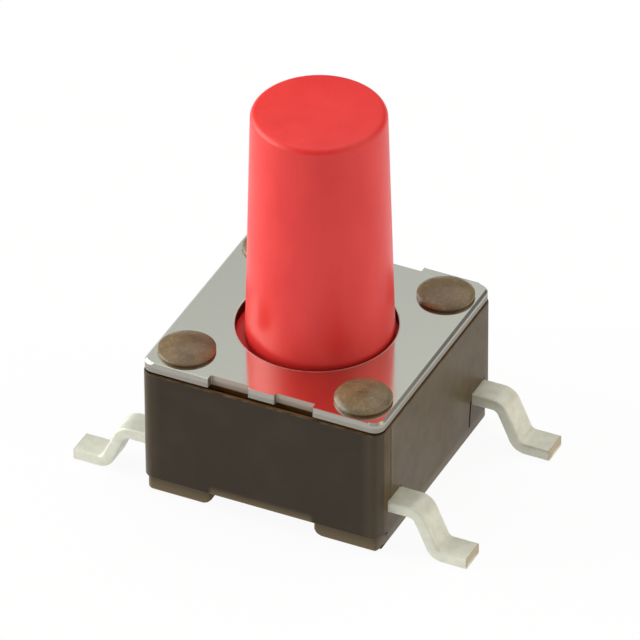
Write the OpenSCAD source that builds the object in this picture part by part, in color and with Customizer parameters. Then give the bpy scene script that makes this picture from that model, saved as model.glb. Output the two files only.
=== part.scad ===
// Surface-mount tactile push button with a tall tapered stem.
// Z = 0 is the board's surface under the terminal feet, with the origin at the middle of the footprint.
// X runs the way the terminals point, Y along each side's pair of terminals, and +Z up the stem.

/* [Housing] */
// Width of the moulded housing along X, between the two walls that the terminals leave
body_w = 6; // [5.6:0.1:8]
// Depth of the moulded housing along Y
body_d = 6; // [5.6:0.1:8]
// Radius of the housing's four upright corners
corner_r = 0.28; // [0.1:0.02:0.5]
// Height of the housing's belly above the board
belly_z = 0.43; // [0.25:0.01:0.6]
// Height of the face that carries the cover
housing_top = 3.4; // [3.1:0.05:4.5]
// Height of the raised seat that lifts the cover off the housing's rim
seat_h = 0.07; // [0.03:0.01:0.15]
// Set-back of that seat from the housing's walls
seat_inset = 0.2; // [0.1:0.02:0.28]
// Diameter of the round chamber inside
chamber_d = 4.6; // [4.4:0.05:4.9]
// Height of the chamber's floor
floor_z = 1.35; // [1.3:0.01:1.45]

/* [Rails] */
// Clearance between the two foot rails and the board
rail_clear = 0.04; // [0.02:0.01:0.15]
// Width of a rail at its foot
rail_w = 1.55; // [0.8:0.05:2]
// Set-back of the rails from the housing's walls
rail_inset = 0.08; // [0.02:0.01:0.2]
// Radius of a rail's corners
rail_r = 0.16; // [0.08:0.02:0.3]
// Width of the bevel along a rail's inner foot edge
rail_bevel = 0.15; // [0.05:0.01:0.2]

/* [Stakes] */
// Distance of a stake's axis from the two walls beside it
stake_inset = 0.8; // [0.7:0.05:0.85]
// Diameter of a stake's shank
stake_d = 0.9; // [0.5:0.05:1]
// Diameter of a stake's flattened head
head_d = 1.36; // [1.15:0.02:1.5]
// Height of the head's upright rim
head_rim = 0.1; // [0.04:0.01:0.15]
// Rise of the head's crown above that rim
head_crown = 0.1; // [0.04:0.01:0.15]

/* [Cover] */
// Thickness of the steel cover
cover_t = 0.25; // [0.15:0.01:0.35]
// Set-back of the cover's edge from the housing's walls
cover_inset = 0.02; // [0:0.01:0.1]
// Radial clearance round a stake's shank
stake_clear = 0.05; // [0.02:0.01:0.1]
// Radial clearance between the stem and its hole
hole_clear = 0.14; // [0.1:0.01:0.2]
// Width of the shallow notch in the front and back edges
notch_w = 2.6; // [1.5:0.1:2.8]
// Depth of that notch
notch_d = 0.16; // [0.1:0.01:0.2]
// Width of the sheared carrier stub left in the notch
stub_w = 0.66; // [0.3:0.02:1]
// Length of that stub
stub_l = 0.11; // [0.04:0.01:0.15]

/* [Stem] */
// Height of the stem's top above the board
stem_top = 9.5; // [5:0.5:13]
// Diameter of the stem where it meets its flange
stem_d = 3.42; // [3:0.02:3.6]
// Diameter of the stem at its top
tip_d = 3.09; // [2.6:0.01:3.3]
// Radius of the stem's rounded top edge
tip_round = 0.16; // [0.05:0.01:0.3]
// Radial clearance between the flange and the chamber
flange_clear = 0.25; // [0.2:0.01:0.3]
// Thickness of the flange that holds the stem in
flange_t = 0.85; // [0.5:0.05:1]
// Diameter of the column under the flange
column_d = 2.4; // [1.5:0.1:3]
// Length of that column
column_l = 0.35; // [0.1:0.05:0.45]
// Diameter of the nub that presses the dome
nub_d = 1; // [0.6:0.05:1.4]
// Sideways play taken up along X, as a loose stem sits in its hole
stem_play = 0.08; // [0:0.01:0.1]
// Clearance of the stem under the cover and over the dome
stem_gap = 0.02; // [0.01:0.01:0.05]

/* [Dome] */
// Radial clearance between the dome's rim and the chamber
dome_clear = 0.35; // [0.25:0.01:0.6]
// Thickness of the dome's steel
dome_t = 0.07; // [0.05:0.01:0.1]
// Travel of the dome's middle until it meets the centre contact
travel = 0.25; // [0.15:0.01:0.35]

/* [Terminals] */
// Distance of a row's middle from the wall beside it
row_inset = 0.75; // [0.7:0.01:0.85]
// Width of a terminal
lead_w = 0.7; // [0.4:0.02:0.8]
// Thickness of the lead frame's strip
lead_t = 0.29; // [0.15:0.01:0.32]
// Height of the strip's underside where it leaves the wall
exit_z = 1; // [0.9:0.01:1.02]
// Straight run out of the wall before the first bend
exit_run = 0.5; // [0.2:0.02:0.7]
// Inside radius of both bends
bend_r = 0.15; // [0.08:0.01:0.2]
// Slope of the leg between the bends, in degrees
leg_slope = 66; // [55:1:80]
// Length of the flat foot past the second bend
foot_l = 0.6; // [0.3:0.05:1.2]
// Depth of the shallow recess in the wall under a terminal
recess_d = 0.05; // [0.02:0.01:0.08]

/* [Contacts] */
// Width of the arms that carry the contact pads
arm_w = 0.5; // [0.3:0.05:0.6]
// Diameter of the centre contact pad
centre_pad_d = 0.9; // [0.6:0.05:1.2]
// Diameter of a pad under the dome's rim
rim_pad_d = 0.6; // [0.5:0.02:0.65]
// Height of the pads above the chamber's floor
pad_proud = 0.02; // [0.01:0.01:0.04]

/* [Hidden] */
$fn = 96;

// Facets in one drawn arc
arc_steps = 12;
// Reach of a cutting tool past the face that it opens
cut = 1;
// Reach of a rail or a stake into the body that it grows from
root = 0.07;

cover_w = body_w - 2 * cover_inset;
cover_d = body_d - 2 * cover_inset;
cover_top = housing_top + cover_t;
hole_d = stem_d + 2 * hole_clear;

seat_z = floor_z + pad_proud;
dome_height = travel + dome_t;
dome_r = chamber_d / 2 - dome_clear;
dome_inner_r = dome_r - dome_t;
rim_pad_x = dome_r - dome_t / 2;

flange_top = housing_top - stem_gap;
flange_d = chamber_d - 2 * flange_clear;
flange_z = flange_top - flange_t;
column_z = flange_z - column_l;
nub_z = seat_z + dome_height + stem_gap;

leg_outer_r = bend_r + lead_t;
leg_drop = exit_z - (bend_r + leg_outer_r) * (1 - cos(leg_slope));
bend_start_x = body_w / 2 + exit_run;
bend_end_x = bend_start_x + (bend_r + leg_outer_r) * sin(leg_slope) + leg_drop / tan(leg_slope);
tip_x = bend_end_x + foot_l;
row_y = body_d / 2 - row_inset;

housing_color = "#433a31";
steel_color = "#b2b5a6";
stem_color = "#d9423f";
contact_color = "#c9c6b6";
plated_color = "#d5d6c6";

// Points along an arc about a centre, at equal steps from one angle to another
function arc(centre, r, from, to) =
    [for (i = [0:arc_steps])
        let (angle = from + (to - from) * i / arc_steps)
        centre + r * [cos(angle), sin(angle)]];

// Side of a terminal from inside its wall to its tip, as X and Z
function lead_outline(inner_x) = concat(
    [[inner_x, exit_z]],
    arc([bend_start_x, exit_z - bend_r], bend_r, 90, 90 - leg_slope),
    arc([bend_end_x, leg_outer_r], leg_outer_r, 270 - leg_slope, 270),
    [[tip_x, 0], [tip_x, lead_t]],
    arc([bend_end_x, leg_outer_r], bend_r, 270, 270 - leg_slope),
    arc([bend_start_x, exit_z - bend_r], leg_outer_r, 90 - leg_slope, 90),
    [[inner_x, exit_z + lead_t]]
);

// Rectangle with true round corners
module rounded_rect(w, d, r) {
    square([w - 2 * r, d], center = true);
    square([w, d - 2 * r], center = true);
    at_corners(w - 2 * r, d - 2 * r) circle(r);
}

// Copies of a shape at the four corners of a rectangle
module at_corners(w, d) {
    for (x = [-w / 2, w / 2])
        for (y = [-d / 2, d / 2])
            translate([x, y]) children();
}

// Copies of a shape on the axes of the four stakes
module at_stakes() {
    at_corners(body_w - 2 * stake_inset, body_d - 2 * stake_inset) children();
}

// A shape and its mirror image across the YZ plane
module both_sides() {
    children();
    mirror([1, 0, 0]) children();
}

// One foot rail along the +X side, with a bevelled inner foot edge
module rail() {
    outer_x = body_w / 2 - rail_inset;
    length = body_d - 2 * rail_inset;
    inner_x = outer_x - rail_w;
    intersection() {
        translate([outer_x - (rail_w + rail_bevel) / 2, 0, rail_clear])
            linear_extrude(belly_z - rail_clear + root)
                rounded_rect(rail_w + rail_bevel, length, rail_r);
        rotate([90, 0, 0])
            linear_extrude(body_d, center = true)
                polygon([
                    [inner_x - rail_bevel, belly_z + cut],
                    [inner_x - rail_bevel, rail_clear + 2 * rail_bevel],
                    [inner_x, rail_clear],
                    [outer_x, rail_clear],
                    [outer_x, belly_z + cut]
                ]);
    }
}

// Shank and flattened head of one stake, standing on the cover's seat
module stake() {
    crown_r = (head_d * head_d / 4 + head_crown * head_crown) / (2 * head_crown);
    crown_angle = asin(head_d / 2 / crown_r);
    translate([0, 0, housing_top - root]) cylinder(d = stake_d, h = root + cover_t + head_rim);
    translate([0, 0, cover_top])
        rotate_extrude()
            polygon(concat(
                [[0, 0], [head_d / 2, 0]],
                arc([0, head_rim + head_crown - crown_r], crown_r, 90 - crown_angle, 90)
            ));
}

module base_housing() {
    color(housing_color)
    difference() {
        union() {
            translate([0, 0, belly_z])
                linear_extrude(housing_top - seat_h - belly_z) rounded_rect(body_w, body_d, corner_r);
            translate([0, 0, belly_z])
                linear_extrude(housing_top - belly_z)
                    rounded_rect(body_w - 2 * seat_inset, body_d - 2 * seat_inset, corner_r);
            both_sides() rail();
            at_stakes() stake();
        }
        translate([0, 0, floor_z]) cylinder(d = chamber_d, h = housing_top);
        for (y = [-row_y, row_y])
            both_sides()
                translate([body_w / 2 - recess_d, y - lead_w / 2, belly_z - cut])
                    cube([cut, lead_w, exit_z - belly_z + cut]);
        centre_frame_shape();
        rim_frame_shape();
    }
}

module cover_plate() {
    color(steel_color)
    difference() {
        translate([0, 0, housing_top])
            linear_extrude(cover_t)
                difference() {
                    rounded_rect(cover_w, cover_d, corner_r - cover_inset);
                    edge_notch();
                    mirror([0, 1]) edge_notch();
                }
        translate([0, 0, housing_top - cut]) cylinder(d = hole_d, h = cover_t + 2 * cut);
        at_stakes()
            translate([0, 0, housing_top - cut]) cylinder(d = stake_d + 2 * stake_clear, h = cover_t + 2 * cut);
    }
}

// Notch in the cover's front edge, round the stub where the plate was cut from its carrier strip
module edge_notch() {
    difference() {
        translate([-notch_w / 2, -cover_d / 2 - cut]) square([notch_w, notch_d + cut]);
        translate([-stub_w / 2, notch_d - cover_d / 2 - stub_l]) square([stub_w, stub_l + cut]);
    }
}

module stem() {
    draft = atan((stem_d - tip_d) / 2 / (stem_top - flange_top));
    round_z = stem_top - tip_round;
    round_x = tip_d / 2 + tip_round * tan(draft) - tip_round / cos(draft);
    color(stem_color)
    translate([stem_play, 0, 0])
        rotate_extrude()
            polygon(concat(
                [
                    [0, nub_z],
                    [nub_d / 2, nub_z],
                    [nub_d / 2, column_z],
                    [column_d / 2, column_z],
                    [column_d / 2, flange_z],
                    [flange_d / 2, flange_z],
                    [flange_d / 2, flange_top],
                    [stem_d / 2, flange_top]
                ],
                arc([round_x, round_z], tip_round, draft, 90),
                [[0, stem_top]]
            ));
}

// Spherical snap dome, whose middle clears the centre contact by the travel
module snap_dome() {
    inner_r = (dome_inner_r * dome_inner_r + travel * travel) / (2 * travel);
    outer_r = inner_r + dome_t;
    centre_z = seat_z + travel - inner_r;
    color(contact_color)
    rotate_extrude()
        polygon(concat(
            arc([0, centre_z], inner_r, 90, 90 - asin(dome_inner_r / inner_r)),
            [[dome_r, seat_z]],
            arc([0, centre_z], outer_r, 90 - asin(dome_r / outer_r), 90)
        ));
}

// Both formed terminals of a row and the strip that joins them inside the floor
module lead_row() {
    both_sides()
        rotate([90, 0, 0])
            linear_extrude(lead_w, center = true) polygon(lead_outline(0));
}

module contact_pad(d) {
    translate([0, 0, exit_z]) cylinder(d = d, h = seat_z - exit_z);
}

// Front row's frame: a single arm ends in the pad under the dome's middle
module centre_frame_shape() {
    translate([0, -row_y, 0]) lead_row();
    translate([-arm_w / 2, -row_y, exit_z]) cube([arm_w, row_y, lead_t]);
    contact_pad(centre_pad_d);
}

// Back row's frame: an arm on each side ends in a pad under the dome's rim
module rim_frame_shape() {
    translate([0, row_y, 0]) lead_row();
    both_sides() {
        translate([rim_pad_x - arm_w / 2, 0, exit_z]) cube([arm_w, row_y, lead_t]);
        translate([rim_pad_x, 0, 0]) contact_pad(rim_pad_d);
    }
}

module centre_contact_frame() {
    color(plated_color) centre_frame_shape();
}

module rim_contact_frame() {
    color(plated_color) rim_frame_shape();
}

base_housing();
cover_plate();
stem();
snap_dome();
centre_contact_frame();
rim_contact_frame();
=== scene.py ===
import math

import bmesh
import bpy
from mathutils import Matrix, Vector, noise


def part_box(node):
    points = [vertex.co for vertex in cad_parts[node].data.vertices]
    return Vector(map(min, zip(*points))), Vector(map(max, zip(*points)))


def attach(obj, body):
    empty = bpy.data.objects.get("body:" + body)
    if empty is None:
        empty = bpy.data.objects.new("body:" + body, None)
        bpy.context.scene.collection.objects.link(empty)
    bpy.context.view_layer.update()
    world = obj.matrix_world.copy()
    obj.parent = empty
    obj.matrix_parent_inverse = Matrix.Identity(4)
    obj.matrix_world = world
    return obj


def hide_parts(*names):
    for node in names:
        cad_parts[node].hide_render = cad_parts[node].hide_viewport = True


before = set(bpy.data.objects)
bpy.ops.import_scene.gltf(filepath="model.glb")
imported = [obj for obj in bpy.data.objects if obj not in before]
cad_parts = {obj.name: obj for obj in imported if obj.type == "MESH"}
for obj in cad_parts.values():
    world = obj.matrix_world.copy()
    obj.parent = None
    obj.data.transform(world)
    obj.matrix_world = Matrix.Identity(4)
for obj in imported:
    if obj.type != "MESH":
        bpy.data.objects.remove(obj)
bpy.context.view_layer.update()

bl_info = {
    "name": "Tactile Push Button",
    "version": (1, 0, 0),
    "blender": (4, 5, 0),
    "location": "View3D > Sidebar > Button",
    "description": "Dresses a surface-mount tactile push button with its finished pieces",
    "category": "Object",
}

# Pieces are modelled in millimetres, and brought to metres when they are finished.
MM = 0.001

# Points closer to each other than this, in millimetres, are taken for one point.
WELD = 1e-4

# Faces that meet at less than this angle are shaded as one smooth surface.
SMOOTH_ANGLE = math.radians(35)
COVER_SMOOTH_ANGLE = math.radians(14)

TURN = 2 * math.pi
UP = Vector((0, 0, 1))

# Rounding of the stem's hidden corners, and of its nub's foot, in millimetres.
FINE_ROUND = 0.03
NUB_ROUND = 0.05

# The ridge beside a corner, in millimetres: how far it stands out of the wall, and how deep its root is.
RIDGE_HEIGHT = 0.012
RIDGE_ROOT = 0.1

# The seam in the wall beside a terminal, in millimetres: its distance from the terminal, its depth, and how
# far its lower end slants away.
SEAM_OFFSET = 0.03
SEAM_DEPTH = 0.2
SEAM_SLANT = 0.2

# What is cut out reaches this far beyond the surface, in millimetres.
OVERSHOOT = 1

# Heights of the four stake heads above the cover, in millimetres, in the order of stake_places.
HEAD_RISES = (0.23, 0.28, 0.25, 0.25)

# Outline of a stake head: shares of its radius at the foot, the shoulder and the edge of its crown, and how
# far the last two lie below the top, in millimetres.
HEAD_FOOT = 0.94
HEAD_SHOULDER = 0.9
HEAD_SHOULDER_DROP = 0.12
HEAD_CROWN = 0.4
HEAD_CROWN_DROP = 0.015

# Rounding of a stake head's widest part, its shoulder and the edge of its crown, in millimetres.
HEAD_RIM_ROUND = 0.03
HEAD_SHOULDER_ROUND = 0.07
HEAD_CROWN_ROUND = 0.2

# Unevenness of the stake heads: the largest swelling as a share of the radius, the noise's scale for each
# millimetre, and how far apart in the noise the heads lie.
HEAD_SWELL = 0.03
HEAD_NOISE = 1.6
HEAD_NOISE_STEP = 7.3

# The cover, in millimetres: rounding in the corners of its notches, and play round a stake's shank.
NOTCH_ROUND = 0.025
SHANK_PLAY = 0.05

# A face whose normal rises at least this much is level.
LEVEL = 0.9999

# Gap between the cover and the stem's flange, in millimetres.
FLANGE_GAP = 0.02

# Strength of the relief in every finish.
RELIEF_STRENGTH = 0.5

# How much of the table is its own white light: for what lights the switch, and for the eye and metal.
TABLE_GLOW = 0.4
TABLE_GLOW_SEEN = 0.93

# Reach of the table from its middle, in millimetres.
TABLE_REACH = 600

# What metal sees of the dim room between the soft boxes: at the back, and in front of the switch.
ROOM_BEHIND = 0.16
ROOM_IN_FRONT = 0.45

# Soft boxes round a dark studio: azimuth, elevation and half-angle in degrees, level, the most that metal
# sees of it, and tint. A box is at its full level inside SOFT_CORE of its half-angle.
SOFT_CORE = 0.3
SOFT_BOXES = (
    (199, 7, 49, 5.0, 5.0, (1.0, 1.0, 1.0)),
    (88, 73, 46, 2.1, 0.85, (1.0, 1.0, 1.0)),
    (6, 8, 46, 1.7, 0.95, (1.0, 0.92, 0.78)),
)

# The photograph's camera. In degrees: how far to the right of the front it stands, how high, and its roll. In
# millimetres: its distance from a point above the origin, that point's height, and its shift to the right and
# up. In pixels: its focal length and the photograph's width. Then its sensor in millimetres, and the nearest
# distance that it shows, in metres.
CAMERA_AZIMUTH = 25.604
CAMERA_ELEVATION = 35.888
CAMERA_ROLL = -0.322
CAMERA_DISTANCE = 236.594
CAMERA_AIM_HEIGHT = 4
CAMERA_RIGHT = 0.0698
CAMERA_UP = -0.2213
FOCAL_PIXELS = 10460.17
PHOTO_PIXELS = 640
SENSOR_WIDTH = 36
CLIP_START = 0.01


def box_mm(node):
    """Lowest and highest corner of a CAD node, in millimetres."""
    low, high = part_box(node)
    return low / MM, high / MM


HOUSING_LOW, HOUSING_HIGH = box_mm("base_housing")
COVER_LOW, COVER_HIGH = box_mm("cover_plate")
STEM_LOW, STEM_HIGH = box_mm("stem")
ROW_LOW, ROW_HIGH = box_mm("centre_contact_frame")


def linear(hex_colour):
    """An sRGB hex colour as linear red, green and blue."""
    channels = [int(hex_colour[i:i + 2], 16) / 255 for i in (1, 3, 5)]
    return tuple(c / 12.92 if c <= 0.04045 else ((c + 0.055) / 1.055) ** 2.4 for c in channels)


def length_prop(name, description, millimetres):
    """A property that holds a length in metres, with its default given in millimetres."""
    return bpy.props.FloatProperty(
        name=name, description=description, default=millimetres * MM, min=0, precision=6, unit="LENGTH"
    )


def colour_prop(name, description, hex_colour):
    """A property that holds a linear colour, with its default given in sRGB hex."""
    return bpy.props.FloatVectorProperty(
        name=name, description=description, subtype="COLOR", size=3, min=0, max=1, default=linear(hex_colour)
    )


class ButtonSizes(bpy.types.PropertyGroup):
    """Sizes that the finished pieces add to the frame's own."""

    corner: length_prop("Housing corner", "Radius of the housing's upright corners", 0.28)
    corner_run: length_prop("Corner run", "How far two of the housing's corners reach along its sides", 0.55)
    side_ridge: length_prop("Side ridge", "Width of the fine upright ridge beside each corner", 0.025)
    rim_edge: length_prop("Rim edge", "Rounding along the housing's top rim", 0.03)
    belly_edge: length_prop("Belly edge", "Rounding along the bottom of the housing's walls", 0.03)
    rim_drop: length_prop("Rim drop", "Height of the cover's seat above the housing's rim", 0.07)
    rim_inset: length_prop("Rim inset", "Set-back of the cover's seat from the walls", 0.26)
    rim_lip: length_prop("Rim lip", "Width of the thin lip that stands round the cover's seat", 0.03)
    rim_groove: length_prop("Rim groove", "Depth of the groove between that lip and the seat", 0.15)
    belly: length_prop("Belly height", "Height of the housing's belly above the board", 0.43)
    chamber: length_prop("Chamber radius", "Radius of the round chamber inside the housing", 2.3)
    chamber_floor: length_prop("Chamber floor", "Height of the chamber's floor", 1.35)
    rail_width: length_prop("Rail width", "Width of a foot rail", 1.55)
    rail_inset: length_prop("Rail inset", "Set-back of the foot rails from the walls", 0.08)
    rail_corner: length_prop("Rail corner", "Radius of a foot rail's corners", 0.16)
    rail_slope: length_prop("Rail slope", "Width of the sloped inner side of a foot rail", 0.15)
    rail_toe: length_prop("Rail toe", "Rounding along a foot rail's inner edge", 0.08)
    rail_edge: length_prop("Rail edge", "Rounding along a foot rail's foot", 0.06)
    exit_recess: length_prop("Exit recess", "Depth of the recess in the wall under a terminal", 0.02)
    exit_gap: length_prop("Exit gap", "Height of the crack over a terminal where it leaves the wall", 0.04)
    exit_seam: length_prop("Exit seam", "Width of the seam in the wall beside a terminal's inner side", 0.07)
    stake_inset: length_prop("Stake inset", "Distance of a stake's axis from the walls", 0.8)
    head: length_prop("Stake head", "Radius of a stake's flattened head", 0.68)
    head_rim: length_prop("Head rim", "Height of a stake head's widest part above the cover", 0.07)
    shank: length_prop("Stake shank", "Radius of a stake's shank", 0.45)
    cover_corner: length_prop("Cover corner", "Radius of the cover's corners", 0.26)
    die_roll: length_prop("Die roll", "Slope left by the punch along the cover's sides and corners", 0.055)
    sheared_edge: length_prop("Sheared edge", "Rounding along the cover's front and back edges", 0.03)
    hole: length_prop("Stem hole", "Radius of the cover's hole for the stem", 1.85)
    hole_edge: length_prop("Hole edge", "Rounding round that hole", 0.03)
    notch_width: length_prop("Notch width", "Width of the notch in the cover's front and back edges", 2.6)
    notch_depth: length_prop("Notch depth", "Depth of that notch", 0.16)
    stub_width: length_prop("Stub width", "Width of the sheared carrier stub in the notch", 0.66)
    stub_length: length_prop("Stub length", "Length of that stub", 0.11)
    stub_chamfer: length_prop("Stub chamfer", "Width of the torn slope along the stub's top edge", 0.07)
    stem_root: length_prop("Stem root", "Radius of the stem at its flange", 1.71)
    stem_tip: length_prop("Stem tip", "Radius of the stem at its top", 1.545)
    tip_round: length_prop("Tip rounding", "Radius of the stem's rounded top edge", 0.16)
    flange: length_prop("Flange", "Thickness of the stem's flange", 0.85)
    column: length_prop("Column", "Radius of the column under the flange", 1.2)
    column_length: length_prop("Column length", "Length of that column", 0.35)
    nub: length_prop("Nub", "Radius of the nub that presses the dome", 0.5)
    strip: length_prop("Strip thickness", "Thickness of the terminals' strip", 0.29)
    terminal: length_prop("Terminal width", "Width of a terminal", 0.7)
    strip_edge: length_prop("Strip edge", "Rounding along a terminal's stamped edges", 0.05)
    exit_height: length_prop("Exit height", "Height of a terminal's underside at the wall", 1.0)
    exit_run: length_prop("Exit run", "Straight run of a terminal out of the wall", 0.5)
    bend: length_prop("Bend radius", "Inside radius of a terminal's bends", 0.15)
    foot: length_prop("Foot", "Length of a terminal's flat foot", 0.6)
    leg_slope: bpy.props.FloatProperty(
        name="Leg slope", description="Slope of a terminal's leg", default=math.radians(66), unit="ROTATION"
    )
    arm: length_prop("Contact arm", "Width of the arms that carry the contact pads", 0.5)
    centre_pad: length_prop("Centre pad", "Radius of the pad under the dome's middle", 0.45)
    rim_pad: length_prop("Rim pad", "Radius of a pad under the dome's rim", 0.3)
    rim_pad_place: length_prop("Rim pad place", "Distance of a rim pad from the dome's axis", 1.915)


class ButtonColours(bpy.types.PropertyGroup):
    """Colours of the finishes."""

    housing: colour_prop("Housing", "Dark glass-filled plastic", "#32281c")
    housing_pale: colour_prop("Housing, pale", "Resin-rich patches of that plastic", "#43382b")
    # Painted light: the right-hand wall is drawn paler because of how light falls on it.
    housing_right_lit: colour_prop("Housing, side", "Right-hand wall, paler in the photograph", "#5f4f33")
    # Painted light along the walls' lower edges, down the rails' feet and on the upright corners.
    housing_lit_edges: colour_prop("Housing, lit edges", "Thin edges, where light comes through", "#7d6c4f")
    stake: colour_prop("Stake", "Melted plastic of the stake heads, and scuffed flash", "#7b6a4b")
    stake_pale: colour_prop("Stake, pale", "Bared glass fibre in the stake heads", "#9c8d70")
    # Painted shade on the stake heads' lower rims, and painted light in the groove under the cover.
    rim_shade_groove_light: colour_prop("Stake rim", "Rim of a stake head, and the groove under the cover", "#664624")
    cover: colour_prop("Cover", "Bright rolled stainless steel", "#e6e8dc")
    cover_edge: colour_prop("Cover edge", "Burnished upper part of a sheared steel edge", "#a5a39b")
    cover_inner: colour_prop("Cover, inside", "Duller sheared steel in the notches", "#a89a8e")
    # Painted shade on the steel in the stem's hole.
    cover_hole_shade: colour_prop("Cover, hole", "Dark shadowed steel in the stem's hole", "#4a3a30")
    cover_broken: colour_prop("Cover break", "Broken lower part of a sheared steel edge", "#a19c93")
    stem: colour_prop("Stem", "Red pigment of the stem", "#ea3530")
    stem_deep: colour_prop("Stem, deep", "Denser flow marks in the red", "#e22c2b")
    tin: colour_prop("Tin", "Matte tin plate", "#e6e6d5")
    tin_dull: colour_prop("Tin, dull", "Rubbed and stretched tin plate", "#d8d9c8")
    brass: colour_prop("Brass", "Bare brass at a sheared end", "#b8a684")
    spring: colour_prop("Spring steel", "Silvery spring steel of the dome", "#c9c6b6")
    floor: colour_prop("Floor", "Pale studio table", "#f4f4f2")


def size(name):
    """A size from the sidebar, in millimetres."""
    return getattr(bpy.context.scene.button_sizes, name) / MM


def colour(name):
    """A colour from the sidebar, with full alpha."""
    return (*getattr(bpy.context.scene.button_colours, name), 1.0)


def add_node(tree, kind, inputs=(), **settings):
    """Adds a node with its settings. Its kind leaves out ShaderNode. Its inputs, given by name or number, are
    set or linked."""
    node = tree.nodes.new("ShaderNode" + kind)
    for name, value in settings.items():
        setattr(node, name, value)
    for socket, value in dict(inputs).items():
        if isinstance(value, bpy.types.NodeSocket):
            tree.links.new(value, node.inputs[socket])
        else:
            node.inputs[socket].default_value = value
    return node


def start_material(name):
    """An empty material, with the object's coordinates."""
    material = bpy.data.materials.new(name)
    material.use_nodes = True
    tree = material.node_tree
    tree.nodes.clear()
    place = add_node(tree, "TexCoord").outputs["Object"]
    return material, tree, place


def add_patterns(tree, place, **rows):
    """Adds noise patterns. A row gives its patches' width in millimetres, its detail and its roughness."""
    patterns = {}
    for name, (width, detail, roughness) in rows.items():
        inputs = {"Vector": place, "Scale": 1 / (width * MM), "Detail": detail, "Roughness": roughness}
        patterns[name] = add_node(tree, "TexNoise", inputs).outputs["Fac"]
    return patterns


def add_masks(tree, unit, **rows):
    """Adds masks. A row gives the value that a mask follows, where on it the mask starts and ends, in the
    given unit, and its strength at its start and its end."""
    masks = {}
    for name, (value, start, end, low, high) in rows.items():
        inputs = {"Value": value, "From Min": start * unit, "From Max": end * unit}
        inputs.update({"To Min": low, "To Max": high})
        masks[name] = add_node(tree, "MapRange", inputs).outputs["Result"]
    return masks


def join_masks(tree, operation, *masks):
    """Joins masks in turn by a Math operation: MULTIPLY keeps where all are, and MAXIMUM where any is."""
    joined = masks[0]
    for mask in masks[1:]:
        joined = add_node(tree, "Math", {0: joined, 1: mask}, operation=operation).outputs[0]
    return joined


def lay_tones(tree, tone, *layers):
    """Lays tones over a first one in turn. A layer gives its mask and its tone."""
    for mask, layer in layers:
        tone = add_node(tree, "Mix", {0: mask, 6: tone, 7: layer}, data_type="RGBA").outputs[2]
    return tone


def close_material(tree, relief, **finish):
    """Joins a finish to the material's output. Its relief gives the pattern that the surface follows, and the
    height of that in millimetres. Underscores in the finish's names stand for spaces."""
    pattern, height = relief
    bump = {"Height": pattern, "Distance": height * MM, "Strength": RELIEF_STRENGTH}
    inputs = {name.replace("_", " "): value for name, value in finish.items()}
    inputs["Normal"] = add_node(tree, "Bump", bump).outputs["Normal"]
    shader = add_node(tree, "BsdfPrincipled", inputs)
    add_node(tree, "OutputMaterial", {"Surface": shader.outputs["BSDF"]})


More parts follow.
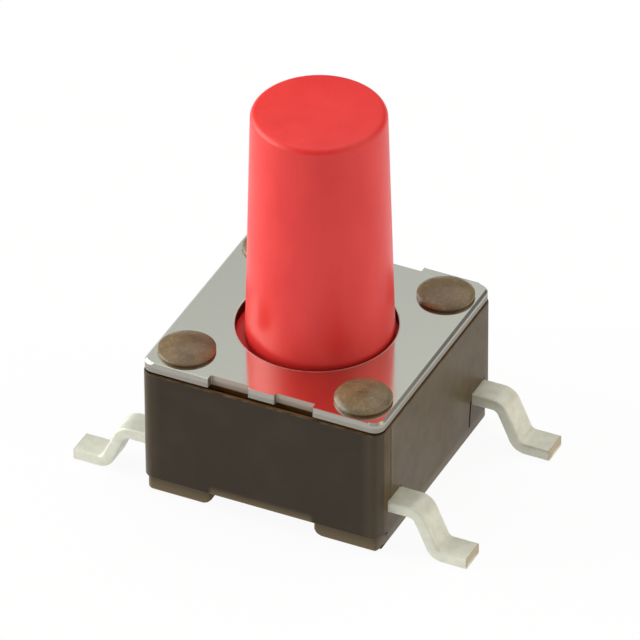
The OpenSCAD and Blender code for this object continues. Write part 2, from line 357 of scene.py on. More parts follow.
def glass_filled_nylon():
    """Heat-resistant nylon with glass fibre, moulded: dark brown with a satin skin and faint resin patches.
    Painted light makes the walls' lower edges, the rails' feet, the corners and the groove under the cover
    paler and browner, and scuffed flash along the rim and the ridges is paler. The wall on the right carries
    mottled painted light and is a little rougher."""
    material, tree, place = start_material("glass_filled_nylon")
    to_the_right, to_the_back, height = add_node(tree, "SeparateXYZ", {0: place}).outputs
    across = add_node(tree, "Math", {0: to_the_right}, operation="ABSOLUTE").outputs[0]
    along = add_node(tree, "Math", {0: to_the_back}, operation="ABSOLUTE").outputs[0]
    nearer = add_node(tree, "Math", {0: across, 1: along}, operation="MINIMUM").outputs[0]
    farther = add_node(tree, "Math", {0: across, 1: along}, operation="MAXIMUM").outputs[0]
    wall = HOUSING_HIGH.x
    rim = COVER_LOW.z - size("rim_drop")
    belly = size("belly")
    rail = wall - size("rail_inset") - size("rail_width")
    edge = size("rim_edge")
    pattern = add_patterns(
        tree,
        place,
        resin=(0.9, 4, 0.55),
        grain=(0.045, 2, 0.55),
        mottle=(0.5, 5, 0.65),
        scuffs=(0.3, 4, 0.55),
    )
    at = add_masks(
        tree,
        MM,
        front_and_back=(along, wall - 0.05, wall - 0.03, 0, 1),
        hem=(height, belly + 0.24, belly, 0, 0.8),
        foot=(height, belly, HOUSING_LOW.z, 0.25, 0.8),
        between_rails=(across, rail - 0.05, rail - 0.15, 0, 1),
        rails=(height, belly - 0.005, belly - 0.01, 0, 1),
        corner=(nearer, wall - 0.5, wall - 0.05, 0, 0.25),
        right_wall=(to_the_right, wall - 0.04, wall - 0.03, 0, 0.9),
        outside=(farther, wall - edge, wall - edge / 2, 0, 1),
        inside=(farther, wall - edge, wall - edge / 2, 1, 0),
        rim=(height, rim - 0.04, rim - 0.02, 0, 0.45),
        ridge=(across, wall + 0.003, wall + 0.006, 0, 1),
        under_cover=(height, rim - 0.2, rim - 0.1, 0, 1),
        off_corners=(nearer, wall - 0.28, wall - 0.32, 0, 1),
    )
    by = add_masks(
        tree,
        1,
        resin=(pattern["resin"], 0.45, 0.75, 0, 0.35),
        mottle=(pattern["mottle"], 0.3, 0.6, 0.55, 1),
        scuffs=(pattern["scuffs"], 0.42, 0.62, 0, 1),
        skin=(pattern["resin"], 0.3, 0.7, 0.28, 0.36),
        right_skin=(at["right_wall"], 0, 1, 0, 0.08),
    )
    low_edge = join_masks(tree, "MULTIPLY", at["hem"], at["front_and_back"], at["between_rails"])
    feet = join_masks(tree, "MULTIPLY", at["foot"], at["rails"])
    groove = join_masks(tree, "MULTIPLY", at["under_cover"], at["off_corners"], at["inside"])
    flash = join_masks(tree, "MULTIPLY", at["rim"], at["outside"], by["scuffs"])
    tone = lay_tones(
        tree,
        colour("housing"),
        (by["resin"], colour("housing_pale")),
        # Painted light, mottled, on the right-hand wall.
        (join_masks(tree, "MULTIPLY", at["right_wall"], by["mottle"]), colour("housing_right_lit")),
        # Painted light along the walls' lower edges between the rails, down the rails' feet and on the
        # upright corners.
        (join_masks(tree, "MAXIMUM", low_edge, feet, at["corner"]), colour("housing_lit_edges")),
        # Painted light in the groove under the cover.
        (groove, colour("rim_shade_groove_light")),
        (join_masks(tree, "MAXIMUM", flash, at["ridge"]), colour("stake")),
    )
    close_material(
        tree,
        (pattern["grain"], 0.003),
        Base_Color=tone,
        Roughness=join_masks(tree, "ADD", by["skin"], by["right_skin"]),
        Specular_IOR_Level=0.2,
    )
    return material


def staked_nylon():
    """The same nylon melted under a hot punch: paler and glossier, with bared fibre in the middle and painted
    shade round its lower rim. The fibre is drawn coarser than it is, because it would be too fine to show."""
    material, tree, place = start_material("staked_nylon")
    height = add_node(tree, "SeparateXYZ", {0: place}).outputs["Z"]
    rim_top = COVER_HIGH.z + size("head_rim")
    pattern = add_patterns(tree, place, speckle=(0.06, 4, 0.7), cloud=(0.4, 3, 0.55))
    at = add_masks(tree, MM, rim=(height, rim_top - 0.01, rim_top - 0.05, 0, 1))
    by = add_masks(
        tree,
        1,
        fibre=(pattern["speckle"], 0.45, 0.75, 0, 0.6),
        cloud=(pattern["cloud"], 0.4, 0.7, 0, 0.5),
        skin=(pattern["speckle"], 0.3, 0.7, 0.18, 0.28),
    )
    tone = lay_tones(
        tree,
        colour("stake"),
        (by["fibre"], colour("stake_pale")),
        (by["cloud"], colour("housing_pale")),
        # Painted shade on the head's lower rim.
        (at["rim"], colour("rim_shade_groove_light")),
    )
    close_material(
        tree,
        (pattern["speckle"], 0.004),
        Base_Color=tone,
        Roughness=by["skin"],
        Specular_IOR_Level=0.5,
        Subsurface_Weight=0.3,
        Subsurface_Radius=(1.0, 0.6, 0.3),
        Subsurface_Scale=0.12 * MM,
    )
    return material


def rolled_stainless():
    """Bright cold-rolled stainless strip: almost a mirror, with fine lines along the rolling direction. Its
    sheared edges are burnished above, and broken and duller below. Painted shade darkens it in the stem's
    hole."""
    material, tree, place = start_material("rolled_stainless")
    to_the_right, to_the_back, height = add_node(tree, "SeparateXYZ", {0: place}).outputs
    across = add_node(tree, "Math", {0: to_the_right}, operation="ABSOLUTE").outputs[0]
    along = add_node(tree, "Math", {0: to_the_back}, operation="ABSOLUTE").outputs[0]
    rolling = add_node(tree, "Mapping", {"Vector": place, "Scale": (0.08, 1.0, 1.0)}).outputs[0]
    plan = add_node(tree, "Mapping", {"Vector": place, "Scale": (1.0, 1.0, 0.0)}).outputs[0]
    reach = add_node(tree, "VectorMath", {0: plan}, operation="LENGTH").outputs["Value"]
    normal = add_node(tree, "NewGeometry").outputs["Normal"]
    facing = add_node(tree, "SeparateXYZ", {0: normal}).outputs["Z"]
    flatness = add_node(tree, "Math", {0: facing}, operation="ABSOLUTE").outputs[0]
    pattern = {
        **add_patterns(tree, rolling, streaks=(0.05, 4, 0.6)),
        **add_patterns(tree, place, smears=(1.1, 3, 0.55), tears=(0.25, 3, 0.55)),
    }
    # The tears are a length in metres, which shifts the height at which an edge breaks.
    by = add_masks(
        tree,
        1,
        upright=(flatness, 0.95, 0.5, 0, 1),
        tears=(pattern["tears"], 0.3, 0.7, -0.01 * MM, 0.01 * MM),
        face_skin=(pattern["smears"], 0.3, 0.7, 0.1, 0.14),
        edge_skin=(flatness, 0.95, 0.5, 0, 0.2),
    )
    ragged = add_node(tree, "Math", {0: height, 1: by["tears"]}, operation="ADD").outputs[0]
    at = add_masks(
        tree,
        MM,
        inner=(along, COVER_HIGH.y - 0.08, COVER_HIGH.y - 0.12, 0, 1),
        off_side=(across, COVER_HIGH.x - 0.12, COVER_HIGH.x - 0.14, 0, 1),
        hole=(reach, size("hole") + 0.06, size("hole") + 0.05, 0, 1),
        lower=(ragged, COVER_LOW.z + 0.14, COVER_LOW.z + 0.1, 0, 1),
    )
    broken = join_masks(tree, "MULTIPLY", by["upright"], at["lower"])
    tone = lay_tones(
        tree,
        colour("cover"),
        (by["upright"], colour("cover_edge")),
        (broken, colour("cover_broken")),
        (join_masks(tree, "MULTIPLY", at["inner"], at["off_side"], by["upright"]), colour("cover_inner")),
        # Painted shade on the upright steel in the stem's hole.
        (join_masks(tree, "MULTIPLY", at["hole"], by["upright"]), colour("cover_hole_shade")),
    )
    worn = add_masks(tree, 1, skin=(join_masks(tree, "MAXIMUM", broken, at["hole"]), 0, 1, 0, 0.3))
    close_material(
        tree,
        (pattern["streaks"], 0.0006),
        Base_Color=tone,
        Metallic=1.0,
        Roughness=join_masks(tree, "ADD", by["face_skin"], by["edge_skin"], worn["skin"]),
    )
    return material


def moulded_red():
    """Red engineering plastic, moulded satin: a soft broad highlight and faint denser flow marks."""
    material, tree, place = start_material("moulded_red")
    flow = add_node(tree, "Mapping", {"Vector": place, "Scale": (1.0, 1.0, 0.45)}).outputs[0]
    marks = add_patterns(tree, flow, marks=(0.8, 4, 0.55))["marks"]
    grain = add_patterns(tree, place, grain=(0.05, 2, 0.55))["grain"]
    by = add_masks(tree, 1, marks=(marks, 0.4, 0.7, 0, 1), skin=(marks, 0.3, 0.7, 0.34, 0.4))
    close_material(
        tree,
        (grain, 0.003),
        Base_Color=lay_tones(tree, colour("stem"), (by["marks"], colour("stem_deep"))),
        Roughness=by["skin"],
        Specular_IOR_Level=0.45,
    )
    return material


def tin_plated_brass():
    """Brass strip with matte tin plate: fine pale crystals that shine softly and scatter some light, duller
    in rubbed patches, with bare brass at the cut ends of the tips. The crystals are drawn coarser than they
    are, because they would be too fine to show."""
    material, tree, place = start_material("tin_plated_brass")
    to_the_right, _, height = add_node(tree, "SeparateXYZ", {0: place}).outputs
    across = add_node(tree, "Math", {0: to_the_right}, operation="ABSOLUTE").outputs[0]
    pattern = add_patterns(tree, place, rubbed=(0.25, 4, 0.55), crystals=(0.03, 2, 0.55))
    # The smear is a length in metres, which shifts the height at which the plate ends.
    by = add_masks(
        tree,
        1,
        rubbed=(pattern["rubbed"], 0.35, 0.7, 0, 1),
        smear=(pattern["rubbed"], 0.3, 0.7, -0.05 * MM, 0.05 * MM),
        shine=(pattern["crystals"], 0.3, 0.7, 0.15, 0.35),
        skin=(pattern["rubbed"], 0.3, 0.7, 0.4, 0.48),
    )
    ragged = add_node(tree, "Math", {0: height, 1: by["smear"]}, operation="ADD").outputs[0]
    at = add_masks(
        tree,
        MM,
        cut_end=(across, ROW_HIGH.x - 0.012, ROW_HIGH.x - 0.006, 0, 1),
        upper=(ragged, 0.04, 0.1, 0.25, 1),
    )
    bare = join_masks(tree, "MULTIPLY", at["cut_end"], at["upper"])
    tone = lay_tones(tree, colour("tin"), (by["rubbed"], colour("tin_dull")), (bare, colour("brass")))
    close_material(
        tree,
        (pattern["crystals"], 0.002),
        Base_Color=tone,
        Metallic=by["shine"],
        Roughness=by["skin"],
    )
    return material


def spring_steel():
    """Thin spring steel strip with a silvery flash: a fine rolled grain and an even soft shine."""
    material, tree, place = start_material("spring_steel")
    rolling = add_node(tree, "Mapping", {"Vector": place, "Scale": (0.1, 1.0, 1.0)}).outputs[0]
    streaks = add_patterns(tree, rolling, streaks=(0.04, 3, 0.55))["streaks"]
    close_material(
        tree,
        (streaks, 0.001),
        Base_Color=lay_tones(tree, colour("spring"), (streaks, colour("tin"))),
        Metallic=1.0,
        Roughness=add_masks(tree, 1, skin=(streaks, 0.3, 0.7, 0.22, 0.3))["skin"],
    )
    return material


def studio_table():
    """Pale matte light table, faintly lit from below: it shows white to the eye and to metal, and keeps the
    object's soft shadow."""
    material, tree, place = start_material("studio_table")
    white = (1.0, 1.0, 1.0, 1.0)
    mottle = add_patterns(tree, place, mottle=(4.0, 2, 0.55))["mottle"]
    mottled = add_masks(tree, 1, mottle=(mottle, 0.3, 0.7, 0, 0.05))["mottle"]
    tone = lay_tones(tree, colour("floor"), (mottled, white))
    matte = add_node(tree, "BsdfDiffuse", {"Color": tone}).outputs[0]
    glow = add_node(tree, "Emission", {"Color": white, "Strength": 1.0}).outputs[0]
    path = add_node(tree, "LightPath").outputs
    seen = join_masks(
        tree, "MAXIMUM", path["Is Camera Ray"], path["Is Glossy Ray"], path["Is Transmission Ray"]
    )
    share = add_masks(tree, 1, glow=(seen, 0, 1, TABLE_GLOW, TABLE_GLOW_SEEN))["glow"]
    table = add_node(tree, "MixShader", {0: share, 1: matte, 2: glow}).outputs[0]
    add_node(tree, "OutputMaterial", {"Surface": table})
    return material


def edges_where(bm, test):
    """Edges whose two ends both pass a test."""
    return [e for e in bm.edges if all(test(v.co) for v in e.verts)]


def upright_edges(bm):
    """Edges that run up and down."""
    return [e for e in bm.edges if abs(e.verts[0].co.z - e.verts[1].co.z) > WELD]


def round_edges(bm, edges, radius, segments=3):
    """Rounds edges, or breaks them with one flat face where it has a single segment."""
    bmesh.ops.bevel(
        bm,
        geom=edges,
        offset=radius,
        segments=segments,
        profile=0.5,
        affect="EDGES",
        material=-1,
        clamp_overlap=True,
    )


def round_corners(bm, verts, radius, segments=6):
    """Rounds the corners of a flat outline."""
    bmesh.ops.bevel(
        bm, geom=verts, offset=radius, segments=segments, profile=0.5, affect="VERTICES", material=-1
    )


def extrude_face(bm, face, vector):
    """Draws a face out along a vector and returns the face at its far end."""
    grown = bmesh.ops.extrude_face_region(bm, geom=[face])["geom"]
    bmesh.ops.translate(bm, vec=vector, verts=[g for g in grown if isinstance(g, bmesh.types.BMVert)])
    return next(g for g in grown if isinstance(g, bmesh.types.BMFace))


def block(low, high):
    """A bmesh of one rectangular block between two corners."""
    bm = bmesh.new()
    extent = Vector(high) - Vector(low)
    middle = (Vector(high) + Vector(low)) / 2
    bmesh.ops.create_cube(bm, size=1, matrix=Matrix.Translation(middle) @ Matrix.Diagonal((*extent, 1)))
    return bm


def cylinder(radius, low, high, centre=(0, 0), segments=96):
    """A bmesh of one upright cylinder."""
    bm = bmesh.new()
    place = Matrix.Translation((*centre, (low + high) / 2))
    bmesh.ops.create_cone(
        bm, cap_ends=True, segments=segments, radius1=radius, radius2=radius, depth=high - low, matrix=place
    )
    return bm


def turned(profile, rounds, centre, steps):
    """Spins a closed half-profile of radius and height about an upright axis. rounds gives some of its
    corners their rounding."""
    bm = bmesh.new()
    corners = [bm.verts.new((x, 0, z)) for x, z in profile]
    bm.faces.new(corners)
    for index, radius in rounds.items():
        round_corners(bm, [corners[index]], radius)
    bmesh.ops.delete(bm, geom=bm.faces[:], context="FACES_ONLY")
    on_axis = edges_where(bm, lambda co: abs(co.x) < WELD)
    bmesh.ops.delete(bm, geom=on_axis, context="EDGES")
    bmesh.ops.spin(
        bm,
        geom=bm.verts[:] + bm.edges[:],
        cent=(0, 0, 0),
        axis=UP,
        dvec=(0, 0, 0),
        angle=TURN,
        steps=steps,
        use_merge=True,
    )
    bmesh.ops.translate(bm, vec=(*centre, 0), verts=bm.verts)
    return bm


def tidy_mesh(bm):
    """Merges doubles, drops the faces that drawing out left inside, and turns every face outwards."""
    bmesh.ops.remove_doubles(bm, verts=bm.verts, dist=WELD)
    inside = [f for f in bm.faces if all(len(e.link_faces) > 2 for e in f.edges)]
    bmesh.ops.delete(bm, geom=inside, context="FACES_ONLY")
    bmesh.ops.recalc_face_normals(bm, faces=bm.faces)


def loose_object(name, bm):
    """Puts a bmesh into the scene as an object, still in millimetres."""
    tidy_mesh(bm)
    mesh = bpy.data.meshes.new(name)
    bm.to_mesh(mesh)
    bm.free()
    piece = bpy.data.objects.new(name, mesh)
    bpy.context.scene.collection.objects.link(piece)
    return piece


def apply_modifiers(piece):
    """Replaces a piece's mesh by what its modifiers make of it."""
    graph = bpy.context.evaluated_depsgraph_get()
    finished = bpy.data.meshes.new_from_object(piece.evaluated_get(graph))
    piece.modifiers.clear()
    piece.data = finished


def combine(piece, bm, operation):
    """Joins a closed bmesh to a piece, or cuts it out, and leaves the mesh welded and in triangles, so that
    the next cut finds it closed."""
    tool = loose_object("tool", bm)
    step = piece.modifiers.new(operation.title(), "BOOLEAN")
    step.operation = operation
    step.solver = "EXACT"
    step.object = tool
    apply_modifiers(piece)
    bpy.data.objects.remove(tool)
    joined = bmesh.new()
    joined.from_mesh(piece.data)
    tidy_mesh(joined)
    bmesh.ops.triangulate(joined, faces=joined.faces)
    bmesh.ops.dissolve_degenerate(joined, dist=WELD, edges=joined.edges)
    joined.to_mesh(piece.data)
    joined.free()


def finish_piece(piece, body, material, nodes=(), smooth_angle=SMOOTH_ANGLE):
    """Brings a piece to metres, shades it, gives it its finish and sets it on its body."""
    piece.data.transform(Matrix.Scale(MM, 4))
    piece.data.materials.clear()
    piece.data.materials.append(material)
    piece.data.shade_smooth()
    piece.data.set_sharp_from_angle(angle=smooth_angle)
    even = piece.modifiers.new("Even shading", "WEIGHTED_NORMAL")
    even.keep_sharp = True
    apply_modifiers(piece)
    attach(piece, body)
    for node in nodes:
        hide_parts(node)


class BUTTON_OT_housing(bpy.types.Operator):
    """Makes the moulded housing, with its chamber, its rails and the recesses under the terminals"""

    bl_idname = "button.housing"
    bl_label = "Housing"

    def execute(self, context):
        rim = COVER_LOW.z - size("rim_drop")
        wall = HOUSING_HIGH.x
        depth = HOUSING_HIGH.y
        belly = size("belly")
        bm = block((-wall, -depth, belly), (wall, depth, rim))
        round_edges(bm, upright_edges(bm), size("corner"), 10)
        round_edges(bm, edges_where(bm, lambda co: abs(co.z - belly) < WELD), size("belly_edge"), 4)
        round_edges(bm, edges_where(bm, lambda co: abs(co.z - rim) < WELD), size("rim_edge"))
        walls = bm.verts[:]
        top = max(bm.faces, key=lambda f: f.calc_center_median().z)
        bmesh.ops.inset_region(bm, faces=[top], thickness=size("rim_lip"), use_even_offset=True)
        top = extrude_face(bm, top, (0, 0, -size("rim_groove")))
        groove = size("rim_inset") - size("rim_edge") - size("rim_lip")
        bmesh.ops.inset_region(bm, faces=[top], thickness=groove, use_even_offset=True)
        extrude_face(bm, top, (0, 0, size("rim_groove") + size("rim_drop")))
        self.draw_out_corners(walls, depth, size("corner"))
        piece = loose_object("housing_moulding", bm)
        chamber = cylinder(size("chamber"), size("chamber_floor"), rim + OVERSHOOT, segments=128)
        combine(piece, chamber, "DIFFERENCE")
        for side in (-1, 1):
            combine(piece, self.ridge(side, wall, depth, rim, belly), "UNION")
        self.cut_exits(piece, wall, belly)
        for side in (-1, 1):
            combine(piece, self.rail(side, wall, depth, belly), "UNION")
        for place in stake_places():
            shank = cylinder(size("shank"), rim, COVER_HIGH.z + size("head_rim") / 2, place, 48)
            combine(piece, shank, "UNION")
        finish_piece(piece, "housing", glass_filled_nylon(), ["base_housing"])
        return {"FINISHED"}

    def cut_exits(self, piece, wall, belly):
        """Cuts the shallow recess that runs down the wall under each terminal, and the seam beside it."""
        half = size("terminal") / 2
        top = size("exit_height") + size("strip") + size("exit_gap")
        seam_top = size("exit_height") + size("strip") / 2
        for row in terminal_rows():
            inner = abs(row) - half - SEAM_OFFSET
            seam = sorted(math.copysign(y, row) for y in (inner - size("exit_seam"), inner))
            for side in (-1, 1):
                ends = sorted((side * (wall - size("exit_recess")), side * (wall + OVERSHOOT)))
                recess = block((ends[0], row - half, belly - OVERSHOOT), (ends[1], row + half, top))
                combine(piece, recess, "DIFFERENCE")
                ends = sorted((side * (wall - SEAM_DEPTH), side * (wall + OVERSHOOT)))
                slit = block((ends[0], seam[0], belly - OVERSHOOT), (ends[1], seam[1], seam_top))
                low_end = [v for v in slit.verts if v.co.z < belly]
                bmesh.ops.translate(slit, vec=(0, -math.copysign(SEAM_SLANT, row), 0), verts=low_end)
                combine(piece, slit, "DIFFERENCE")

    def draw_out_corners(self, verts, depth, radius):
        """Stretches two corners, which lie across from each other, along the sides."""
        kept = size("rim_edge")
        growth = (size("corner_run") - kept) / (radius - kept)
        for vert in verts:
            from_end = depth - abs(vert.co.y)
            if vert.co.x * vert.co.y < 0 and kept < from_end < radius + WELD:
                vert.co.y = math.copysign(depth - kept - (from_end - kept) * growth, vert.co.y)

    def trim(self, bm, place, normal):
        """Cuts off what lies beyond a plane, and closes the cut."""
        whole = bm.verts[:] + bm.edges[:] + bm.faces[:]
        cut = bmesh.ops.bisect_plane(
            bm, geom=whole, dist=WELD, plane_co=place, plane_no=normal, clear_outer=True
        )["geom_cut"]
        bmesh.ops.holes_fill(bm, edges=[g for g in cut if isinstance(g, bmesh.types.BMEdge)])

    def ridge(self, side, wall, depth, rim, belly):
        """The fine upright ridge that the mould leaves where a drawn-out corner meets the side."""
        half = size("side_ridge") / 2
        place = -side * (depth - size("corner_run") - half)
        edge = size("belly_edge")
        ends = sorted((side * (wall - RIDGE_ROOT), side * (wall + RIDGE_HEIGHT)))
        return block((ends[0], place - half, belly + edge), (ends[1], place + half, rim - edge))

    def rail(self, side, wall, depth, belly):
        """One foot rail, with rounded corners and a rounded foot. Three cuts, each flatter than the one
        before, slope its inner side in a rounded toe."""
        inset = size("rail_inset")
        outer = wall - inset
        inner = outer - size("rail_width")
        slope = size("rail_slope")
        foot = HOUSING_LOW.z
        top = belly + 2 * size("belly_edge")
        bm = block((inner - slope, inset - depth, foot), (outer, depth - inset, top))
        round_edges(bm, upright_edges(bm), size("rail_corner"), 8)
        round_edges(bm, edges_where(bm, lambda co: abs(co.z - foot) < WELD), size("rail_edge"), 4)
        toe = size("rail_toe")
        for reach, lean in ((0, 2), (toe, 1), (2 * toe, 0.5)):
            self.trim(bm, (inner + reach, 0, foot), (-lean, 0, -1))
        bmesh.ops.scale(bm, vec=(side, 1, 1), verts=bm.verts)
        self.draw_out_corners(bm.verts, depth - inset, size("rail_corner"))
        return bm


def stake_places():
    """The four stakes' axes."""
    x = HOUSING_HIGH.x - size("stake_inset")
    y = HOUSING_HIGH.y - size("stake_inset")
    return [(sx * x, sy * y) for sy in (-1, 1) for sx in (-1, 1)]


def terminal_rows():
    """The two rows' places along Y."""
    row = -(ROW_LOW.y + size("terminal") / 2)
    return (-row, row)


class BUTTON_OT_stakes(bpy.types.Operator):
    """Makes the four stake heads, each flattened a little differently"""

    bl_idname = "button.stakes"
    bl_label = "Stake heads"

    def execute(self, context):
        whole = bmesh.new()
        for number, place in enumerate(stake_places()):
            head = self.head(number)
            bmesh.ops.translate(head, vec=(*place, 0), verts=head.verts)
            mesh = bpy.data.meshes.new("head")
            head.to_mesh(mesh)
            head.free()
            whole.from_mesh(mesh)
            bpy.data.meshes.remove(mesh)
        piece = loose_object("stake_heads", whole)
        finish_piece(piece, "housing", staked_nylon())
        return {"FINISHED"}

    def head(self, number):
        """One head: it spreads a little above the cover, is domed, and has its own height and outline."""
        radius = size("head")
        foot = COVER_HIGH.z
        crown = foot + HEAD_RISES[number]
        profile = [
            (0, foot),
            (radius * HEAD_FOOT, foot),
            (radius, foot + size("head_rim")),
            (radius * HEAD_SHOULDER, crown - HEAD_SHOULDER_DROP),
            (radius * HEAD_CROWN, crown - HEAD_CROWN_DROP),
            (0, crown),
        ]
        rounds = {2: HEAD_RIM_ROUND, 3: HEAD_SHOULDER_ROUND, 4: HEAD_CROWN_ROUND}
        bm = turned(profile, rounds, (0, 0), 64)
        for vert in bm.verts:
            spot = Vector((vert.co.x, vert.co.y, number * HEAD_NOISE_STEP))
            share = vert.co.xy.length / radius
            growth = 1 + HEAD_SWELL * noise.noise(spot * HEAD_NOISE) * share
            vert.co.x *= growth
            vert.co.y *= growth
        return bm


class BUTTON_OT_cover(bpy.types.Operator):
    """Makes the stamped cover with its hole, its notches and the sheared stubs in them"""

    bl_idname = "button.cover"
    bl_label = "Cover"

    def execute(self, context):
        bm = bmesh.new()
        side, front = COVER_HIGH.x, COVER_HIGH.y
        notch = size("notch_width") / 2
        stub = size("stub_width") / 2
        recess = front - size("notch_depth")
        end = recess + size("stub_length")
        quarter = [(side, front), (notch, front), (notch, recess), (stub, recess), (stub, end)]
        half = quarter + [(-x, y) for x, y in reversed(quarter)]
        verts = [bm.verts.new((x, y, COVER_LOW.z)) for x, y in half + [(-x, -y) for x, y in half]]
        bm.faces.new(verts)
        corners = [v for v in verts if abs(v.co.x) > side - WELD]
        others = [v for v in verts if v not in corners]
        round_corners(bm, others, NOTCH_ROUND, 3)
        round_corners(bm, corners, size("cover_corner"), 8)
        bmesh.ops.delete(bm, geom=bm.faces[:], context="FACES_ONLY")
        self.add_circle(bm, size("hole"), (0, 0), 128)
        for place in stake_places():
            self.add_circle(bm, size("shank") + SHANK_PLAY, place, 32)
        bmesh.ops.triangle_fill(bm, edges=bm.edges[:], use_beauty=True, normal=UP)
        grown = bmesh.ops.extrude_face_region(bm, geom=bm.faces[:])["geom"]
        lifted = [g for g in grown if isinstance(g, bmesh.types.BMVert)]
        bmesh.ops.translate(bm, vec=(0, 0, COVER_HIGH.z - COVER_LOW.z), verts=lifted)
        bmesh.ops.recalc_face_normals(bm, faces=bm.faces)
        reach = end - NOTCH_ROUND - WELD
        stub_end = self.rim_edges(bm, lambda co: abs(co.x) < stub + WELD and abs(co.y) > reach)
        round_edges(bm, stub_end, size("stub_chamfer"), 1)
        lower = COVER_HIGH.z - size("stub_chamfer")
        shallow = [v for v in bm.verts if abs(v.co.z - lower) < WELD]
        bmesh.ops.translate(bm, vec=(0, 0, size("stub_chamfer") / 2), verts=shallow)
        round_edges(bm, self.rim_edges(bm, self.on_side), size("die_roll"), 1)
        ends = self.rim_edges(bm, lambda co: abs(co.y) > front - WELD and abs(co.x) > notch)
        round_edges(bm, ends, size("sheared_edge"), 3)
        around_hole = self.rim_edges(bm, lambda co: abs(co.xy.length - size("hole")) < WELD)
        round_edges(bm, around_hole, size("hole_edge"), 3)
        level = [f for f in bm.faces if f.normal.z > LEVEL]
        self.fill_again(bm, [f for f in level if f.calc_center_median().z > COVER_HIGH.z - WELD])
        piece = loose_object("cover_stamping", bm)
        finish = rolled_stainless()
        finish_piece(piece, "housing", finish, ["cover_plate"], COVER_SMOOTH_ANGLE)
        return {"FINISHED"}

    def fill_again(self, bm, faces):
        """Replaces flat faces by new ones inside the same border, so that none is folded over another."""
        inside = set(faces)
        edges = {e for f in faces for e in f.edges}
        border = [e for e in edges if sum(f in inside for f in e.link_faces) == 1]
        bmesh.ops.delete(bm, geom=faces, context="FACES")
        bmesh.ops.triangle_fill(bm, edges=border, use_beauty=True, normal=UP)

    def add_circle(self, bm, radius, centre, segments):
        """A ring of edges in the plate's lower face."""
        place = Matrix.Translation((*centre, COVER_LOW.z))
        bmesh.ops.create_circle(bm, cap_ends=False, segments=segments, radius=radius, matrix=place)

    def rim_edges(self, bm, test):
        """Edges where the flat top meets an upright side, and whose two ends pass a test."""
        on_top = edges_where(bm, lambda co: co.z > COVER_HIGH.z - WELD and test(co))
        slopes = {e: sorted(abs(f.normal.z) for f in e.link_faces) for e in on_top}
        return [e for e in on_top if len(slopes[e]) == 2 and slopes[e][0] < 0.5 < slopes[e][1]]

    def on_side(self, co):
        """True along the cover's two sides and round its corners."""
        side, front, corner = COVER_HIGH.x, COVER_HIGH.y, size("cover_corner")
        at_corner = abs(co.x) > side - corner - WELD and abs(co.y) > front - corner - WELD
        return abs(co.x) > side - WELD or at_corner


class BUTTON_OT_stem(bpy.types.Operator):
    """Makes the tapered stem with its flange, column and nub"""

    bl_idname = "button.stem"
    bl_label = "Stem"

    def execute(self, context):
        centre = (STEM_LOW + STEM_HIGH) / 2
        flange_radius = (STEM_HIGH.x - STEM_LOW.x) / 2
        flange_top = COVER_LOW.z - FLANGE_GAP
        flange = flange_top - size("flange")
        column = flange - size("column_length")
        profile = [
            (0, STEM_LOW.z),
            (size("nub"), STEM_LOW.z),
            (size("nub"), column),
            (size("column"), column),
            (size("column"), flange),
            (flange_radius, flange),
            (flange_radius, flange_top),
            (size("stem_root"), flange_top),
            (size("stem_tip"), STEM_HIGH.z),
            (0, STEM_HIGH.z),
        ]
        rounds = {8: size("tip_round"), 6: FINE_ROUND, 5: FINE_ROUND, 3: FINE_ROUND, 1: NUB_ROUND}
        piece = loose_object("stem_moulding", turned(profile, rounds, (centre.x, centre.y), 160))
        finish_piece(piece, "plunger", moulded_red(), ["stem"])
        return {"FINISHED"}


class BUTTON_OT_dome(bpy.types.Operator):
    """Gives the snap dome its spring steel"""

    bl_idname = "button.dome"
    bl_label = "Dome"

    def execute(self, context):
        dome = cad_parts["snap_dome"]
        dome.data.materials.clear()
        dome.data.materials.append(spring_steel())
        return {"FINISHED"}


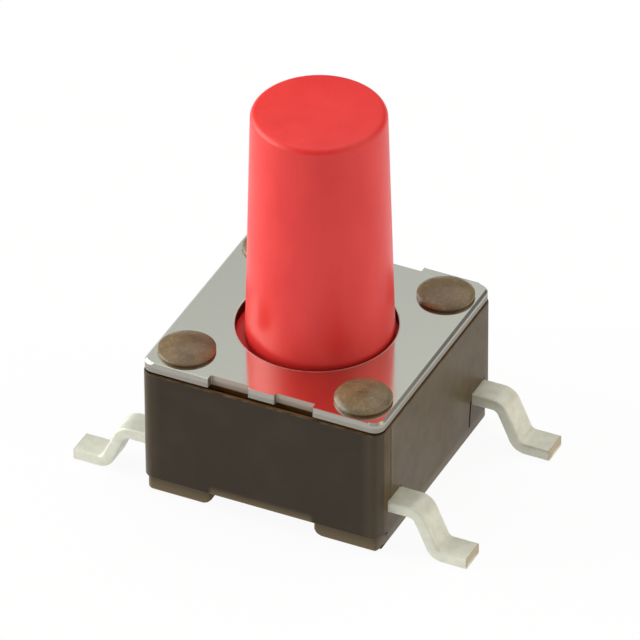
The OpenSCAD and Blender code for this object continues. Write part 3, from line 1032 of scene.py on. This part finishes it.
class BUTTON_OT_terminals(bpy.types.Operator):
    """Makes both contact frames, each with its two formed terminals"""

    bl_idname = "button.terminals"
    bl_label = "Terminals"

    def execute(self, context):
        finish = tin_plated_brass()
        front, back = terminal_rows()
        centre = self.row("centre_frame_strip", front)
        self.add_arm(centre, 0, front)
        self.add_pad(centre, 0, size("centre_pad"))
        finish_piece(centre, "housing", finish, ["centre_contact_frame"])
        rim = self.row("rim_frame_strip", back)
        for side in (-1, 1):
            self.add_arm(rim, side * size("rim_pad_place"), back)
            self.add_pad(rim, side * size("rim_pad_place"), size("rim_pad"))
        finish_piece(rim, "housing", finish, ["rim_contact_frame"])
        return {"FINISHED"}

    def row(self, name, place):
        """A row of two terminals: half is drawn out from the middle, bent down and out, and mirrored."""
        low = size("exit_height")
        strip = size("strip")
        half = size("terminal") / 2
        bend = size("bend")
        slope = bpy.context.scene.button_sizes.leg_slope
        start = HOUSING_HIGH.x + size("exit_run")
        outer = bend + strip
        leg = (low - (bend + outer) * (1 - math.cos(slope))) / math.sin(slope)
        bm = bmesh.new()
        section = [(-half, low), (half, low), (half, low + strip), (-half, low + strip)]
        verts = [bm.verts.new((0, place + y, z)) for y, z in section]
        bm.faces.new(verts)
        round_corners(bm, verts, size("strip_edge"), 4)
        middle = next(iter(bm.faces))
        face = extrude_face(bm, middle, (start, 0, 0))
        bmesh.ops.delete(bm, geom=[middle], context="FACES_ONLY")
        face = self.bend_strip(bm, face, (start, 0, low - bend), slope)
        face = extrude_face(bm, face, (leg * math.cos(slope), 0, -leg * math.sin(slope)))
        face = self.bend_strip(bm, face, self.turning_point(face, bend, slope), -slope)
        extrude_face(bm, face, (size("foot"), 0, 0))
        bmesh.ops.mirror(bm, geom=bm.verts[:] + bm.edges[:] + bm.faces[:], axis="X", merge_dist=WELD)
        return loose_object(name, bm)

    def turning_point(self, face, bend, slope):
        """Centre of the lower bend: beyond the leg's upper side by the bend's inside radius."""
        outward = Vector((math.sin(slope), 0, math.cos(slope)))
        upper = max((v.co for v in face.verts), key=outward.dot)
        return Vector((upper.x, 0, upper.z)) + outward * bend

    def bend_strip(self, bm, face, centre, angle):
        """Bends the strip on from a face about a line along Y."""
        geometry = [face, *face.edges, *face.verts]
        made = bmesh.ops.spin(
            bm,
            geom=geometry,
            cent=centre,
            axis=(0, 1, 0),
            dvec=(0, 0, 0),
            angle=angle,
            steps=10,
            use_duplicate=False,
        )
        return next(g for g in made["geom_last"] if isinstance(g, bmesh.types.BMFace))

    def add_arm(self, piece, x, row):
        """The flat arm from the row's strip to a pad."""
        half = size("arm") / 2
        ends = sorted((0, row))
        low = size("exit_height")
        combine(piece, block((x - half, ends[0], low), (x + half, ends[1], low + size("strip"))), "UNION")

    def add_pad(self, piece, x, radius):
        """A coined contact pad."""
        combine(piece, cylinder(radius, size("exit_height"), ROW_HIGH.z, (x, 0), 64), "UNION")


class BUTTON_OT_stage(bpy.types.Operator):
    """Makes the table, the soft studio light and the camera"""

    bl_idname = "button.stage"
    bl_label = "Stage"

    def execute(self, context):
        self.table()
        self.world(context.scene)
        self.camera(context.scene)
        context.scene.view_settings.view_transform = "Standard"
        return {"FINISHED"}

    def table(self):
        """A plain table at the board's level."""
        bm = bmesh.new()
        bmesh.ops.create_grid(bm, x_segments=1, y_segments=1, size=TABLE_REACH)
        table = loose_object("studio_table", bm)
        table.data.transform(Matrix.Scale(MM, 4))
        table.data.materials.append(studio_table())

    def world(self, scene):
        """A dark studio with broad soft boxes: one low on the left, one almost overhead, and a warm one low
        on the right. The eye sees white, and metal sees the boxes in a dim room."""
        world = bpy.data.worlds.new("studio_room")
        world.use_nodes = True
        tree = world.node_tree
        tree.nodes.clear()
        direction = add_node(tree, "TexCoord").outputs["Generated"]
        path = add_node(tree, "LightPath").outputs
        room = (0.0, 0.0, 0.0)
        for azimuth, elevation, half_angle, level, most, tint in SOFT_BOXES:
            turn = math.radians(azimuth)
            rise = math.radians(elevation)
            aim = (math.cos(turn) * math.cos(rise), math.sin(turn) * math.cos(rise), math.sin(rise))
            toward = add_node(tree, "VectorMath", {0: direction, 1: aim}, operation="DOT_PRODUCT")
            edge = math.cos(math.radians(half_angle))
            core = math.cos(math.radians(half_angle * SOFT_CORE))
            box = add_masks(
                tree,
                1,
                strength=(toward.outputs["Value"], edge, core, 0, level),
                ceiling=(path["Is Glossy Ray"], 0, 1, level, most),
            )
            scale = join_masks(tree, "MINIMUM", box["strength"], box["ceiling"])
            glow = add_node(tree, "VectorMath", {0: tint, "Scale": scale}, operation="SCALE").outputs[0]
            room = add_node(tree, "VectorMath", {0: room, 1: glow}).outputs[0]
        backward = add_node(tree, "SeparateXYZ", {0: direction}).outputs["Y"]
        dim_room = add_masks(tree, 1, level=(backward, 0.2, -0.6, ROOM_BEHIND, ROOM_IN_FRONT))["level"]
        in_metal = join_masks(tree, "MULTIPLY", path["Is Glossy Ray"], dim_room)
        shown = join_masks(tree, "MAXIMUM", in_metal, path["Is Camera Ray"], path["Is Transmission Ray"])
        room = add_node(tree, "VectorMath", {0: room, 1: shown}, operation="MAXIMUM").outputs[0]
        background = add_node(tree, "Background", {"Color": room, "Strength": 1.0}).outputs[0]
        add_node(tree, "OutputWorld", {"Surface": background})
        scene.world = world

    def camera(self, scene):
        """The photograph's view through a very long lens, from above the front and a little to the right."""
        azimuth = math.radians(CAMERA_AZIMUTH)
        elevation = math.radians(CAMERA_ELEVATION)
        roll = math.radians(CAMERA_ROLL)
        level = Vector((math.sin(azimuth), -math.cos(azimuth), 0))
        back = level * math.cos(elevation) + UP * math.sin(elevation)
        right = Vector((math.cos(azimuth), math.sin(azimuth), 0))
        up = back.cross(right)
        rolled_right = right * math.cos(roll) + up * math.sin(roll)
        rolled_up = -right * math.sin(roll) + up * math.cos(roll)
        place = UP * CAMERA_AIM_HEIGHT + back * CAMERA_DISTANCE + right * CAMERA_RIGHT + up * CAMERA_UP
        data = bpy.data.cameras.new("camera")
        data.sensor_width = SENSOR_WIDTH
        data.lens = FOCAL_PIXELS * SENSOR_WIDTH / PHOTO_PIXELS
        data.clip_start = CLIP_START
        camera = bpy.data.objects.new("camera", data)
        axes = Matrix((rolled_right, rolled_up, back)).transposed()
        camera.matrix_world = Matrix.Translation(place * MM) @ axes.to_4x4()
        scene.collection.objects.link(camera)
        scene.camera = camera


OPERATORS = (
    BUTTON_OT_housing,
    BUTTON_OT_stakes,
    BUTTON_OT_cover,
    BUTTON_OT_stem,
    BUTTON_OT_dome,
    BUTTON_OT_terminals,
    BUTTON_OT_stage,
)


class BUTTON_PT_panel(bpy.types.Panel):
    """Lists the sizes, the colours and the pieces"""

    bl_label = "Tactile Push Button"
    bl_idname = "BUTTON_PT_panel"
    bl_space_type = "VIEW_3D"
    bl_region_type = "UI"
    bl_category = "Button"

    def draw(self, context):
        for group in (context.scene.button_sizes, context.scene.button_colours):
            box = self.layout.box()
            for name in group.__annotations__:
                box.prop(group, name)
        for operator in OPERATORS:
            self.layout.operator(operator.bl_idname)


CLASSES = (ButtonSizes, ButtonColours, *OPERATORS, BUTTON_PT_panel)


def register():
    for cls in CLASSES:
        bpy.utils.register_class(cls)
    bpy.types.Scene.button_sizes = bpy.props.PointerProperty(type=ButtonSizes)
    bpy.types.Scene.button_colours = bpy.props.PointerProperty(type=ButtonColours)


def unregister():
    del bpy.types.Scene.button_colours
    del bpy.types.Scene.button_sizes
    for cls in reversed(CLASSES):
        bpy.utils.unregister_class(cls)


def main():
    """Registers the add-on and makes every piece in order."""
    register()
    for operator in OPERATORS:
        group, name = operator.bl_idname.split(".")
        getattr(getattr(bpy.ops, group), name)()


if __name__ == "__main__":
    main()
